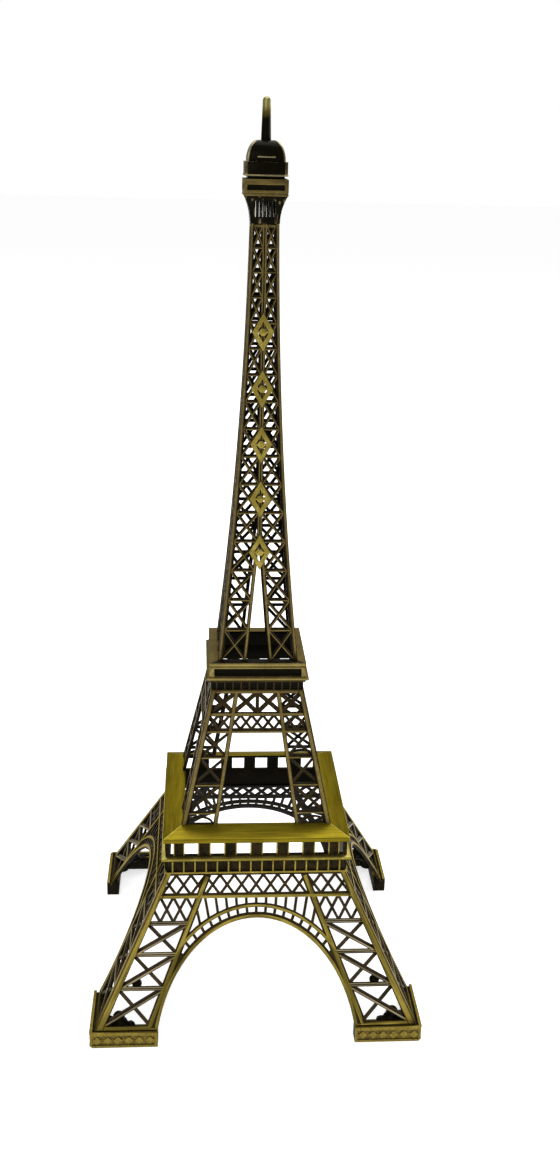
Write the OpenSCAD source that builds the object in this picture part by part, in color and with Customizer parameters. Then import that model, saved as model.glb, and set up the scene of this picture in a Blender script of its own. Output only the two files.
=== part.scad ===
// Open lattice tower on four arched legs, a table ornament assembled from flat
// castings: every storey is four mitred panels, with square galleries between.
// Millimetres. Origin on the table under the antenna, +Z up, front towards -Y.

/* [Heights] */
// Height of a foot
foot_h = 6; // [5:0.5:8]
// Top of the four leg panels
leg_top_z = 54.6; // [53:0.2:56]
// Underside of the first deck
deck_z = 67.4; // [66:0.2:69]
// Top edge of the first deck, where the middle storey stands
mid_base_z = 71.3; // [70.6:0.1:72]
// Top of the four middle panels
mid_top_z = 120; // [118:0.5:121]
// Top of the second gallery, where the spire stands
spire_base_z = 131; // [130:0.5:132]
// Top of the four spire panels
spire_top_z = 282; // [278:1:286]
// Tip of the antenna
total_h = 321; // [318:1:326]

/* [Widths] */
// Side of the square that the four feet stand on
base_w = 120; // [118:1:124]
// Half width of the legs at the top
leg_top_w = 32.9; // [32:0.1:33.2]
// Half width of the first deck
deck_w = 34; // [34:0.1:36]
// Half width of the middle storey at its foot
mid_base_w = 27.4; // [26.5:0.1:28]
// Half width of the middle storey at its top
mid_top_w = 16.7; // [16.5:0.1:17]
// Half width of the second gallery ledge
tray_w = 18.4; // [18:0.1:19.5]
// Half width of the spire at its top
spire_top_w = 4.75; // [4.5:0.05:5]
// Half width of the top gallery
top_gallery_w = 7.3; // [6.9:0.1:7.5]

/* [Castings] */
// Thickness of a leg panel
leg_t = 1.3; // [1.2:0.1:2.4]
// Thickness of a middle panel
mid_t = 1.2; // [1.1:0.1:1.6]
// Thickness of a spire panel
spire_t = 1.2; // [1:0.1:1.3]
// How far chords and rails stand proud of the lattice
bead_h = 0.4; // [0.3:0.05:0.5]

/* [Feet] */
// Length of a foot along each side
foot_l = 24.5; // [23:0.5:26]
// Thickness of the two walls of a foot
foot_t = 5; // [4.5:0.1:6]

/* [Legs] */
// Width of the outer chords
leg_chord = 3; // [2.6:0.1:3.4]
// Width of the inner chords
leg_inner_chord = 1.9; // [1.6:0.1:2.2]
// Half width of the arch opening, measured on the panel
arch_a = 36.5; // [36:0.1:37]
// Height of the arch curve above its centre, measured on the panel
arch_b = 50; // [49:0.5:51]
// Pitch of the lattice under the first gallery
leg_lattice = 5.3; // [5.3:0.1:6]
// Pitch of the lattice inside each leg
leg_net = 4.75; // [4.6:0.05:5]

/* [First gallery] */
// Number of panels in the frieze
frieze_n = 17; // [13:2:21]
// Number of windows in a wall
window_n = 6; // [4:2:6]

/* [Spire] */
// Number of braced bays
bay_n = 16; // [14:1:18]
// Height of the lowest bay over the average bay
bay_growth = 1.19; // [1.1:0.01:1.25]
// Height of an ornament
lozenge_h = 12.6; // [11:0.1:13]

/* [Hidden] */
$fn = 32;

brass = [0.52, 0.46, 0.14];
bronze = [0.27, 0.22, 0.13];
dark = [0.09, 0.07, 0.05];
gold = [0.62, 0.52, 0.18];

half = base_w / 2;
foot_lip = 2.1;                       // width of the foot outside the leg panel
leg_base_w = half - foot_lip;
leg_slope = (leg_base_w - leg_top_w) / (leg_top_z - foot_h);
leg_tilt = atan(leg_slope);
mid_slope = (mid_base_w - mid_top_w) / (mid_top_z - mid_base_z);
mid_tilt = atan(mid_slope);
overlap = 0.3;                        // bars run this far into what they meet
reach = 80;                           // longer than any panel is wide

// ---- shared helpers -------------------------------------------------------

// A straight bar from a to b in the plane of a panel
module bar(a, b, width) {
    translate(a)
        rotate(atan2(b.y - a.y, b.x - a.x))
            translate([-overlap, -width / 2])
                square([norm(b - a) + 2 * overlap, width]);
}

// The same drawing on both sides of the centre line
module both() {
    children();
    mirror([1, 0]) children();
}

// An X between four corners
module cross(low_out, low_in, high_out, high_in, width) {
    bar(low_out, high_in, width);
    bar(low_in, high_out, width);
}

// A row of X shapes side by side, n each way from the centre one
module net(pitch, low, high, n, width) {
    for (i = [-n : n])
        cross([(i + 0.5) * pitch, low], [(i - 0.5) * pitch, low],
              [(i + 0.5) * pitch, high], [(i - 0.5) * pitch, high], width);
}

// The quarter of the plan in front, between the two mitre planes
module mitre(z0, z1) {
    translate([0, 0, z0])
        linear_extrude(z1 - z0)
            polygon([[0, 0], [-reach, -reach], [reach, -reach]]);
}

// One side of a square ring whose section is given as [half width, height] points
module ring_side(section, z0, z1) {
    intersection() {
        rotate([90, 0, -90])
            linear_extrude(2 * reach, center = true)
                polygon(section);
        mitre(z0, z1);
    }
}

// A square ring with the same section on all four sides
module ring(section, z0, z1) {
    for (k = [0 : 3])
        rotate(90 * k) ring_side(section, z0, z1);
}

// Two children drawn flat: the first is the lattice, the second stands proud of it
module tilted_panel(base_half, z0, z1, tilt, thickness) {
    intersection() {
        translate([0, -base_half, z0])
            rotate([90 - tilt, 0, 0]) {
                translate([0, 0, -thickness])
                    linear_extrude(thickness - bead_h) children(0);
                translate([0, 0, -thickness + overlap])
                    linear_extrude(thickness - overlap) children(1);
            }
        mitre(z0, z1);
    }
}

// ---- feet -------------------------------------------------------------------

foot_groove = [58.0, 58.9];           // half widths of the groove on top
foot_groove_d = 0.9;
relief_d = 0.4;
relief_margin = 1;
relief_n = 6;

// Bosses in a sunk band, drawn on the front face
module foot_relief() {
    band_l = foot_l - 2 * relief_margin;
    band_h = foot_h - 2 * relief_margin;
    step = band_l / relief_n;
    for (i = [0 : relief_n - 1])
        translate([-half + relief_margin + (i + 0.5) * step, -half, foot_h / 2])
            rotate([90, 0, 0])
                translate([0, 0, -relief_d])
                    linear_extrude(relief_d - 0.05)
                        scale(0.42)
                            polygon([[-step, 0], [0, -band_h], [step, 0], [0, band_h]]);
}

module foot_band_cut() {
    translate([-half + relief_margin, -half - 1, relief_margin])
        cube([foot_l - 2 * relief_margin, 1 + relief_d, foot_h - 2 * relief_margin]);
}

module foot_groove_cut() {
    translate([-foot_groove[1], -foot_groove[1], foot_h - foot_groove_d])
        cube([half, foot_groove[1] - foot_groove[0], foot_groove_d + 1]);
}

// The front left foot: two walls of an angle, with the edge of the corner broken
module foot() {
    corner = 0.8;
    difference() {
        union() {
            translate([-half, -half, 0]) cube([foot_l, foot_t, foot_h]);
            translate([-half, -half, 0]) cube([foot_t, foot_l, foot_h]);
        }
        for (m = [[0, 0, 0], [1, -1, 0]])
            mirror(m) {
                foot_band_cut();
                foot_groove_cut();
            }
        translate([-half, -half, -1])
            rotate(45) cube([corner * 2, corner * 2, 3 * foot_h], center = true);
    }
    foot_relief();
    mirror([1, -1, 0]) foot_relief();
}

// ---- leg panels ---------------------------------------------------------------

// Distance up the slope of the panel for a height above the table
function up(z) = (z - foot_h) / cos(leg_tilt);
function leg_edge(z) = leg_base_w - leg_slope * (z - foot_h);
function leg_inner(z) = 17.4 + 0.44 * (leg_top_z - z);
function leg_out(z) = [leg_edge(z) - leg_chord / 2, up(z)];
function leg_in(z) = [leg_inner(z), up(z)];

arch_centre = -11.6;                  // below the foot of the panel
arch_step = 4;
// A point of the arch curve, d outside the opening
function arch_point(d, a) = [(arch_a + d) * cos(a), arch_centre + (arch_b + d) * sin(a)];
arch_ring_1 = [0, 1.15, 2.0];         // opening, edge of the bead, edge of the web
arch_ring_2 = [3.75, 4.75, 5.3];
spoke_step = 4.95;                    // turn along the curve from one spoke to the next
spoke_w = 1;
hanger_lean = 2.1;                    // each hanger leans this much more than the last
leg_bays = [7, 18.5, 29, 38.7];      // heights between which the legs are braced
leg_rail_w = 1.6;
leg_brace_w = [1.85, 1.25];           // the brace with a bead, and the plain one behind it
leg_bead_shift = -0.3;                // beads lie this far below the middle of their bar
lattice_w = 1;
net_centre = 27.85;
net_low_z = 39.1;
long_rail_z = 46.9;
lattice_low_z = 47.6;
lattice_high_z = 53.8;

// The band between two arch curves
module arch_band(d0, d1) {
    angles = [10 : arch_step : 170];
    polygon(concat([for (a = angles) arch_point(d1, a)],
                   [for (a = [170 : -arch_step : 10]) arch_point(d0, a)]));
}

// Everything between the inner chords, up to a height
module between_inner(z) {
    polygon([[-leg_inner(foot_h), 0], [leg_inner(foot_h), 0], [leg_inner(z), up(z)], [-leg_inner(z), up(z)]]);
}

// One leg between its two chords
module within_leg(z0, z1) {
    polygon([leg_in(z0), leg_out(z0), leg_out(z1), leg_in(z1)]);
}

module leg_outer_chord(inset) {
    polygon([[leg_edge(foot_h) + 2, 0], [leg_edge(leg_top_z) + 2, up(leg_top_z) + 2],
             [leg_edge(leg_top_z) - leg_chord + inset, up(leg_top_z) + 2],
             [leg_edge(foot_h) - leg_chord + inset, 0]]);
}

// Spokes between the two rings, then hangers up to the long rail
module arch_struts() {
    for (k = [-9 : 9])
        bar(arch_point(arch_ring_1[1], 90 - spoke_step * k),
            arch_point(arch_ring_2[1], 90 - spoke_step * k), spoke_w);
    for (k = [-6 : 6]) {
        base = arch_point(arch_ring_2[1], 90 - spoke_step * k);
        bar(base, base + 12 * [sin(hanger_lean * k), cos(hanger_lean * k)], spoke_w);
    }
}

// The haunch, where the arch and the inner chord run together
module arch_haunch() {
    intersection() {
        arch_band(0, 8);
        between_inner(28.6);
    }
}

module leg_web() {
    intersection() {
        union() {
            arch_band(arch_ring_1[0], arch_ring_1[2]);
            arch_band(arch_ring_2[0], arch_ring_2[2]);
            arch_struts();
        }
        between_inner(long_rail_z);
    }
    arch_haunch();
    net_bars();
    lattice_bars();
    translate([-leg_edge(long_rail_z), up(46.5)]) square([2 * leg_edge(long_rail_z), up(48.1) - up(46.5)]);
    translate([-leg_edge(53.8), up(53.7)]) square([2 * leg_edge(53.8), 3]);
    both() {
        leg_outer_chord(0);
        bar(leg_in(foot_h), leg_in(leg_top_z), leg_inner_chord + 0.7);
        for (i = [1 : 3]) bar(leg_out(leg_bays[i]), leg_in(leg_bays[i]), leg_rail_w);
        for (i = [0 : 2]) {
            bar(leg_out(leg_bays[i]), leg_in(leg_bays[i + 1]), leg_brace_w[0]);
            bar(leg_in(leg_bays[i]), leg_out(leg_bays[i + 1]), leg_brace_w[1]);
        }
        bar([leg_out(foot_h).x, 0.4], [leg_in(foot_h).x, 0.4], 1.6);
    }
}

module net_bars() {
    intersection() {
        both() translate([net_centre, 0]) net(leg_net, up(net_low_z), up(long_rail_z), 2, lattice_w);
        both() within_leg(net_low_z, long_rail_z);
    }
}

module lattice_bars() {
    intersection() {
        net(leg_lattice, up(lattice_low_z), up(lattice_high_z), 6, lattice_w);
        polygon([for (c = [[-1, lattice_low_z], [1, lattice_low_z], [1, lattice_high_z], [-1, lattice_high_z]])
            [c[0] * leg_out(c[1]).x, up(c[1])]]);
    }
}

module leg_beads() {
    intersection() {
        union() {
            arch_band(arch_ring_1[0], arch_ring_1[1]);
            intersection() {
                arch_band(arch_ring_2[0] + 0.1, arch_ring_2[1]);
                between_inner(long_rail_z);
            }
        }
        translate([-reach, 0]) square([2 * reach, reach]);
    }
    translate([-leg_edge(long_rail_z), up(46.5)]) square([2 * leg_edge(long_rail_z), up(47.4) - up(46.5)]);
    both() {
        leg_outer_chord(0.3);
        bar(leg_in(foot_h), leg_in(53.2), leg_inner_chord - 0.6);
        for (i = [1 : 3], shift = [leg_bead_shift, -1.4 * leg_bead_shift])
            translate([0, shift]) bar(leg_out(leg_bays[i]), leg_in(leg_bays[i]), 0.4);
        for (i = [0 : 2])
            translate([0, 1.5 * leg_bead_shift]) bar(leg_out(leg_bays[i]), leg_in(leg_bays[i + 1]), 0.55);
        bar([leg_out(foot_h).x, 0.5], [leg_in(foot_h).x, 0.5], 1);
    }
}

module leg_panel() {
    tilted_panel(leg_base_w, foot_h, leg_top_z, leg_tilt, leg_t) {
        leg_web();
        leg_beads();
    }
}

// ---- first gallery --------------------------------------------------------------

wall_face = 33.1;
wall_back = 31.9;
frieze_low = 55.3;
frieze_high = 60.1;
ledge_top = 61.8;
window_low = 62.1;
window_high = 67.2;
window_w = 4.9;
window_pitch = 9.5;
slit = [30.2, 31.5];                  // half widths of the narrow opening beside the corner post
jamb_w = 0.4;
jamb_h = 0.25;
divider = 0.5;

// A block as high as the windows, between two planes across the depth
module window_block(x, width, front, back) {
    translate([x, front, window_low])
        cube([width, back - front, window_high - window_low]);
}

module gallery_wall() {
    section = [[wall_back, leg_top_z], [33.6, leg_top_z], [33.6, frieze_low], [wall_face - 0.3, frieze_low],
               [wall_face - 0.3, frieze_high], [34.3, frieze_high], [34.6, 60.6], [34.5, 61.4],
               [wall_face, ledge_top], [wall_face, deck_z], [wall_back, deck_z]];
    pitch = 2 * 34.6 / frieze_n;
    windows = [for (i = [0 : window_n - 1]) (i - (window_n - 1) / 2) * window_pitch - window_w / 2];
    difference() {
        union() {
            ring_side(section, leg_top_z, deck_z);
            for (x = windows)
                window_block(x - jamb_w, window_w + 2 * jamb_w, -wall_face - jamb_h, -wall_back - overlap);
            for (m = [0, 1])
                mirror([m, 0]) window_block(slit[0] - jamb_w, 2 * jamb_w, -wall_face - jamb_h, -wall_back - overlap);
        }
        for (x = windows) window_block(x, window_w, -40, -30);
        for (m = [0, 1])
            mirror([m, 0]) window_block(slit[0], slit[1] - slit[0], -40, -30);
    }
    for (i = [0 : frieze_n - 2])
        translate([(i - (frieze_n - 2) / 2) * pitch - divider / 2, -33.45, frieze_low - 0.1])
            cube([divider, 1, frieze_high - frieze_low + 0.2]);
}

deck_lip = 1.9;
deck_hole = 26.2;
deck_sheet = 1;

module first_deck() {
    section = [[deck_w - 1.8, deck_z], [deck_w - 0.2, deck_z], [deck_w, deck_z + 0.3], [deck_w, deck_z + deck_lip - 0.3],
               [deck_w - 0.3, deck_z + deck_lip], [mid_base_w, mid_base_z], [deck_hole, mid_base_z],
               [deck_hole, mid_base_z - deck_sheet], [mid_base_w, mid_base_z - deck_sheet],
               [deck_w - 1.8, deck_z + deck_lip - 1]];
    color(brass) ring(section, deck_z, mid_base_z);
}

// ---- middle storey --------------------------------------------------------------

function mid_up(z) = (z - mid_base_z) / cos(mid_tilt);
function mid_edge(z) = mid_base_w - mid_slope * (z - mid_base_z);
function mid_inner(z) = 15 - 0.155 * (z - mid_base_z);
mid_chord = 1.9;
mid_inner_chord = 1.4;
function mid_out(z) = [mid_edge(z) - mid_chord / 2, mid_up(z)];
function mid_in(z) = [mid_inner(z), mid_up(z)];
mid_bays = [75.6, 85.9, 95.9, 105];   // heights between which the legs are braced
mid_brace_w = 0.95;
mid_cross_w = 1.55;
mid_net = [106, 111];
mid_cross = [112, 119.3];
mid_net_pitch = 4.03;

module mid_outer_chord(width) {
    polygon([[mid_edge(mid_base_z) + 2, -1], [mid_edge(mid_top_z) + 2, mid_up(mid_top_z) + 1],
             [mid_edge(mid_top_z) - width, mid_up(mid_top_z) + 1], [mid_edge(mid_base_z) - width, -1]]);
}

// A long rail from one outer chord to the other
module mid_long_rail(z0, z1) {
    translate([-mid_edge(z0), mid_up(z0)]) square([2 * mid_edge(z0), mid_up(z1) - mid_up(z0)]);
}

// The small arch in the lowest bay of each leg
module mid_arch(width) {
    centre = (mid_out(mid_base_z).x + mid_in(mid_base_z).x) / 2;
    span = (mid_out(mid_base_z).x - mid_in(mid_base_z).x) / 2 - 0.6;
    rise = 3.1;
    translate([centre, 0])
        polygon(concat([for (a = [0 : 15 : 180]) [span * cos(a), rise * sin(a)]],
                       [for (a = [180 : -15 : 0]) [(span - width) * cos(a), (rise - width) * sin(a)]]));
}

module mid_web() {
    intersection() {
        net(mid_net_pitch, mid_up(mid_net[0]), mid_up(mid_net[1]), 4, mid_brace_w);
        polygon([for (c = [[-1, mid_net[0]], [1, mid_net[0]], [1, mid_net[1]], [-1, mid_net[1]]])
            [c[0] * mid_out(c[1]).x, mid_up(c[1])]]);
    }
    mid_long_rail(104.7, 106.3);
    mid_long_rail(110.7, 112.2);
    mid_long_rail(118.9, mid_top_z + 1);
    translate([-0.65, mid_up(111)]) square([1.3, 9]);
    both() {
        mid_outer_chord(mid_chord);
        mid_arch(0.7);
        bar(mid_in(mid_base_z), mid_in(119.5), mid_inner_chord + 0.2);
        for (i = [0 : 2]) bar(mid_out(mid_bays[i]), mid_in(mid_bays[i]), 1.1);
        for (i = [0 : 2])
            cross(mid_out(mid_bays[i]), mid_in(mid_bays[i]),
                  mid_out(mid_bays[i + 1]), mid_in(mid_bays[i + 1]), mid_brace_w);
        cross(mid_out(mid_cross[0]), mid_in(mid_cross[0]),
              mid_out(mid_cross[1]), mid_in(mid_cross[1]), mid_cross_w);
        cross(mid_in(mid_cross[0]), [0, mid_up(mid_cross[0])],
              mid_in(mid_cross[1]), [0, mid_up(mid_cross[1])], mid_cross_w);
        bar([mid_out(mid_base_z).x, 0.1], [mid_in(mid_base_z).x, 0.1], 1);
    }
}

module mid_beads() {
    mid_long_rail(104.75, 105.5);
    mid_long_rail(111.1, 111.9);
    mid_long_rail(119.2, 119.9);
    both() {
        mid_outer_chord(mid_chord - 0.3);
        bar(mid_in(mid_base_z), mid_in(119), mid_inner_chord - 0.4);
        for (i = [0 : 2]) translate([0, -0.2]) bar(mid_out(mid_bays[i]), mid_in(mid_bays[i]), 0.5);
    }
}

module mid_panel() {
    tilted_panel(mid_base_w, mid_base_z, mid_top_z, mid_tilt, mid_t) {
        mid_web();
        mid_beads();
    }
}

// ---- second gallery ----------------------------------------------------------------

frieze_top = 124.5;
frieze2_w = 16.9;
frieze2_back = 15.4;
frieze2_pitch = 2.95;

module second_frieze() {
    section = [[frieze2_back, mid_top_z], [frieze2_w - 0.1, mid_top_z], [frieze2_w - 0.1, mid_top_z + 0.4],
               [frieze2_w - 0.6, mid_top_z + 0.4], [frieze2_w - 0.6, frieze_top - 0.9],
               [frieze2_w + 0.3, frieze_top - 0.9],
               [frieze2_w + 0.4, frieze_top - 0.4], [frieze2_w - 0.1, frieze_top], [frieze2_back, frieze_top]];
    color(dark) {
        ring(section, mid_top_z, frieze_top);
        for (k = [0 : 3], i = [-5 : 5])
            rotate(90 * k)
                translate([i * frieze2_pitch - 0.2, -frieze2_w + 0.2, mid_top_z + 0.3])
                    cube([0.4, 1, frieze_top - mid_top_z - 1]);
    }
}

tray_wall = 17.4;
tray_back = 15.4;
tray_plate = 1.3;
tray_band = [125.8, 128.9];
tray_post = 1.7;
tray_recess = 0.9;

// Half width of the spire at a height: straight lean plus a slow curve
function spire_w(z) = spire_top_w + 0.0185 * (spire_top_z - 2 - z) + 0.000308 * pow(spire_top_z - 2 - z, 2);
tray_hole = spire_w(spire_base_z) - spire_t;

module second_gallery() {
    section = [[tray_back, frieze_top], [tray_w - 0.5, frieze_top], [tray_w, frieze_top + 0.4], [tray_w, tray_band[0] - 0.4],
               [tray_w - 0.4, tray_band[0] - 0.1], [tray_wall, tray_band[0]], [tray_wall, 129.5], [tray_wall - 0.35, 129.65],
               [tray_wall - 0.35, 129.95], [tray_wall, 130.1], [tray_wall, spire_base_z - 0.25],
               [tray_wall - 0.25, spire_base_z], [tray_hole, spire_base_z], [tray_hole, spire_base_z - tray_plate],
               [tray_back, spire_base_z - tray_plate]];
    color(brass)
        difference() {
            ring(section, frieze_top, spire_base_z);
            for (k = [0 : 3])
                rotate(90 * k)
                    translate([-tray_wall + tray_post, -tray_wall - 1, tray_band[0] + 0.05])
                        cube([2 * (tray_wall - tray_post), 1 + tray_recess, tray_band[1] - tray_band[0]]);
        }
}

// ---- spire ---------------------------------------------------------------------------

spire_h = spire_top_z - spire_base_z;
bay_mean = spire_h / bay_n;
bay_fall = 2 * (bay_growth - 1) * bay_mean / (bay_n - 1);
// Height of rail k, with bays that shrink evenly upwards
function rail_z(k) = spire_base_z + k * bay_mean * bay_growth - bay_fall * k * (k - 1) / 2;
// How far up the spire a height is, 0 to 1
function rise(z) = (z - spire_base_z) / spire_h;
function spire_chord(z) = 1.6 - 0.5 * rise(z);
spire_split_z = 177;
function spire_inner(z) = 0.45 + 0.0915 * max(0, spire_split_z - z);

// The sheet between the outer face and one behind it, from the front to the mitres
module spire_sheet(front, back) {
    steps = [0 : bay_n];
    section = concat([for (k = steps) [spire_w(rail_z(k)) - front, rail_z(k)]],
                     [for (k = [bay_n : -1 : 0]) [spire_w(rail_z(k)) - back, rail_z(k)]]);
    ring_side(section, spire_base_z, spire_top_z);
}

module spire_edge(width) {
    ks = [0 : 2 : bay_n];
    polygon(concat([for (k = ks) [spire_w(rail_z(k)) - width * spire_chord(rail_z(k)), rail_z(k)]],
                   [[spire_w(spire_top_z) + 1, spire_top_z], [spire_w(spire_base_z) + 1, spire_base_z]]));
}

// The bars of all bays: rails between the chords and an X in each half bay
module spire_bars(rail_bar, cross_bar) {
    for (k = [1 : bay_n - 1]) {
        z = rail_z(k);
        bar([spire_inner(z), z], [spire_w(z) - 1, z], rail_bar);
    }
    for (k = [0 : bay_n - 1]) {
        z0 = rail_z(k);
        z1 = rail_z(k + 1);
        cross([spire_w(z0) - 1, z0], [spire_inner(z0), z0], [spire_w(z1) - 1, z1], [spire_inner(z1), z1], cross_bar);
    }
}

module spire_web() {
    translate([-0.9, spire_split_z - 4]) square([1.8, spire_top_z - spire_split_z + 4]);
    translate([-8, spire_top_z - 1.6]) square([16, 1.6]);
    both() {
        spire_edge(1.25);
        bar([spire_inner(spire_base_z), spire_base_z], [spire_inner(spire_split_z), spire_split_z], 1.3);
        spire_bars(1.1, 1.05);
    }
}

module spire_beads() {
    both() {
        spire_edge(0.85);
        bar([spire_inner(spire_base_z), spire_base_z], [spire_inner(spire_split_z), spire_split_z], 0.7);
        translate([0.2, spire_split_z]) square([0.45, spire_top_z - spire_split_z]);
        translate([0, -0.2]) spire_bars(0.4, 0.35);
    }
    translate([-8, spire_top_z - 1.2]) square([16, 0.8]);
}

module spire_panel() {
    intersection() {
        spire_sheet(bead_h, spire_t);
        rotate([90, 0, 0]) linear_extrude(reach) spire_web();
    }
    intersection() {
        spire_sheet(0, spire_t - overlap);
        rotate([90, 0, 0]) linear_extrude(reach) spire_beads();
    }
}

// ---- ornaments on the front of the spire ------------------------------------------------

lozenge_low_z = 170.8;
lozenge_pitch = 19.05;
lozenge_w = 7.4;
lozenge_t = 1;
lozenge_rim = 1.45;
boss_r = 1.25;

// An open lozenge with a round boss on a crossbar, flat against the spire
module lozenge(k) {
    z = lozenge_low_z + lozenge_pitch * (k - 1);
    slope = atan((spire_w(z - 5) - spire_w(z + 5)) / 10);
    outer = [lozenge_w / 2, lozenge_h / 2];
    inner = [outer.x * (1 - lozenge_rim / 3.2), outer.y * (1 - lozenge_rim / 3.2)];
    color(gold)
        translate([0, -spire_w(z), z])
            rotate([90 - slope, 0, 0])
                linear_extrude(lozenge_t) {
                    difference() {
                        polygon([[-outer.x, 0], [0, -outer.y], [outer.x, 0], [0, outer.y]]);
                        polygon([[-inner.x, 0], [0, -inner.y], [inner.x, 0], [0, inner.y]]);
                    }
                    circle(boss_r);
                    translate([-inner.x - 0.2, -0.35]) square([2 * inner.x + 0.4, 0.7]);
                }
}

// ---- neck, top gallery, cabin, cupola, antenna --------------------------------------------

neck_top_z = 290.7;
neck_low_w = spire_w(spire_top_z) + 0.15;
neck_t = 1.1;
slot_n = 6;
slot_w = 0.6;
slot_pitch = 1.2;
// Half width of the neck, a cove that flares towards the gallery
function neck_w(t) = neck_low_w + (top_gallery_w - 0.2 - neck_low_w) * pow(t, 2.1);
function neck_z(t) = spire_top_z + t * (neck_top_z - spire_top_z);

module neck() {
    ts = [0 : 0.125 : 1];
    section = concat([for (t = ts) [neck_w(t), neck_z(t)]],
                     [for (t = [1 : -0.125 : 0]) [neck_w(t) - neck_t, neck_z(t)]]);
    color(dark)
        difference() {
            ring(section, spire_top_z, neck_top_z);
            for (k = [0 : 3], i = [0 : slot_n - 1])
                rotate(90 * k)
                    translate([(i - (slot_n - 1) / 2) * slot_pitch - slot_w / 2, -10, spire_top_z + 1.5])
                        cube([slot_w, 7, neck_top_z - spire_top_z - 3]);
        }
}

gallery_top_z = 295.9;
gallery_recess = 0.8;

module top_gallery() {
    w = top_gallery_w;
    color(brass)
        difference() {
            union() {
                translate([-w, -w, neck_top_z]) cube([2 * w, 2 * w, 0.75]);
                translate([-w + 0.2, -w + 0.2, neck_top_z + 0.7]) cube([2 * w - 0.4, 2 * w - 0.4, 0.3]);
                translate([-w, -w, neck_top_z + 0.95]) cube([2 * w, 2 * w, gallery_top_z - neck_top_z - 0.95]);
            }
            for (k = [0 : 3])
                rotate(90 * k)
                    translate([-w + 1.1, -w - 1, neck_top_z + 1.7])
                        cube([2 * w - 2.2, 1 + gallery_recess, 1.9]);
        }
}

cabin_top_z = 301.2;
cabin_core = 6;
cabin_body = 6.1;
cabin_reach = 7;

module cabin() {
    z0 = gallery_top_z;
    color(dark) {
        translate([-cabin_core, -cabin_core, z0]) cube([2 * cabin_core, 2 * cabin_core, 1.2]);
        for (k = [0, 1])
            rotate(90 * k)
                translate([-cabin_body, -cabin_reach, z0 + 0.9])
                    cube([2 * cabin_body, 2 * cabin_reach, cabin_top_z - z0 - 0.9]);
        for (k = [0 : 3])
            rotate(90 * k)
                translate([-cabin_body + 0.4, -cabin_reach - 0.2, z0 + 0.95])
                    cube([2 * cabin_body - 0.8, 1, 0.4]);
    }
}

cupola_top_z = 307.8;
cupola_base = 6.2;
cupola_flat = 2.6;

// One way across the cupola: upright at the foot, flat at the top
module cupola_vault() {
    rise_z = cupola_top_z - cabin_top_z;
    arc = [for (a = [0 : 7.5 : 90])
        [cupola_flat + (cupola_base - cupola_flat) * cos(a), rise_z * sin(a)]];
    translate([0, 0, cabin_top_z])
        rotate([90, 0, 0])
            linear_extrude(2 * cupola_base + 2, center = true)
                polygon(concat(arc, [for (i = [len(arc) - 1 : -1 : 0]) [-arc[i].x, arc[i].y]]));
}

module cupola() {
    color(dark) {
        intersection() {
            cupola_vault();
            rotate(90) cupola_vault();
        }
        for (k = [0 : 3])
            rotate(90 * k)
                translate([-2.9, -cupola_base - 0.15, cabin_top_z + 1.3]) cube([5.8, 1, 0.4]);
    }
}

antenna_base_r = 1.65;
antenna_tip_r = 1.3;

module antenna() {
    color(dark)
        translate([0, 0, cupola_top_z])
            rotate_extrude()
                polygon(concat([[0, 0], [antenna_base_r, 0]],
                    [for (a = [0 : 15 : 90])
                        [antenna_tip_r * cos(a), total_h - cupola_top_z - antenna_tip_r * (1 - sin(a))]]));
}

// ---- solder inside the feet -------------------------------------------------------------------

solder_r = 3.4;

module solder_fillets() {
    color(dark)
        for (k = [0 : 3])
            rotate(90 * k)
                translate([-half + foot_t, -half + foot_t, 0.6])
                    intersection() {
                        cylinder(h = foot_h - 0.8, r1 = solder_r, r2 = solder_r * 0.7);
                        cube([solder_r, solder_r, foot_h]);
                    }
}

// ---- nodes -----------------------------------------------------------------------------------

color(brass) foot();  // foot_front_left
color(brass) rotate(90) foot();  // foot_front_right
color(brass) rotate(180) foot();  // foot_back_right
color(brass) rotate(270) foot();  // foot_back_left
color(bronze) leg_panel();  // leg_panel_front
color(bronze) rotate(90) leg_panel();  // leg_panel_right
color(bronze) rotate(180) leg_panel();  // leg_panel_back
color(bronze) rotate(270) leg_panel();  // leg_panel_left
color(bronze) gallery_wall();  // gallery_wall_front
color(bronze) rotate(90) gallery_wall();  // gallery_wall_right
color(bronze) rotate(180) gallery_wall();  // gallery_wall_back
color(bronze) rotate(270) gallery_wall();  // gallery_wall_left
first_deck();
color(bronze) mid_panel();  // mid_panel_front
color(bronze) rotate(90) mid_panel();  // mid_panel_right
color(bronze) rotate(180) mid_panel();  // mid_panel_back
color(bronze) rotate(270) mid_panel();  // mid_panel_left
second_frieze();
second_gallery();
color(bronze) spire_panel();  // spire_panel_front
color(bronze) rotate(90) spire_panel();  // spire_panel_right
color(bronze) rotate(180) spire_panel();  // spire_panel_back
color(bronze) rotate(270) spire_panel();  // spire_panel_left
lozenge(1);  // lozenge_1
lozenge(2);  // lozenge_2
lozenge(3);  // lozenge_3
lozenge(4);  // lozenge_4
lozenge(5);  // lozenge_5
neck();
top_gallery();
cabin();
cupola();
antenna();
solder_fillets();
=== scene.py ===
# %% [markdown]
# # A lattice tower ornament in antique brass
# The real thing is a table ornament: flat lattice castings in zinc, plated with brass, dipped in
# a dark stain and then rubbed back, so that whatever stands proud is gold and whatever lies deep
# is nearly black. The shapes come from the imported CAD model. This lesson copies each casting,
# breaks its edges, works out how far each face stands proud, and lets one kind of material turn
# that into stain and rubbed brass.

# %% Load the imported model
import math

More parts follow.
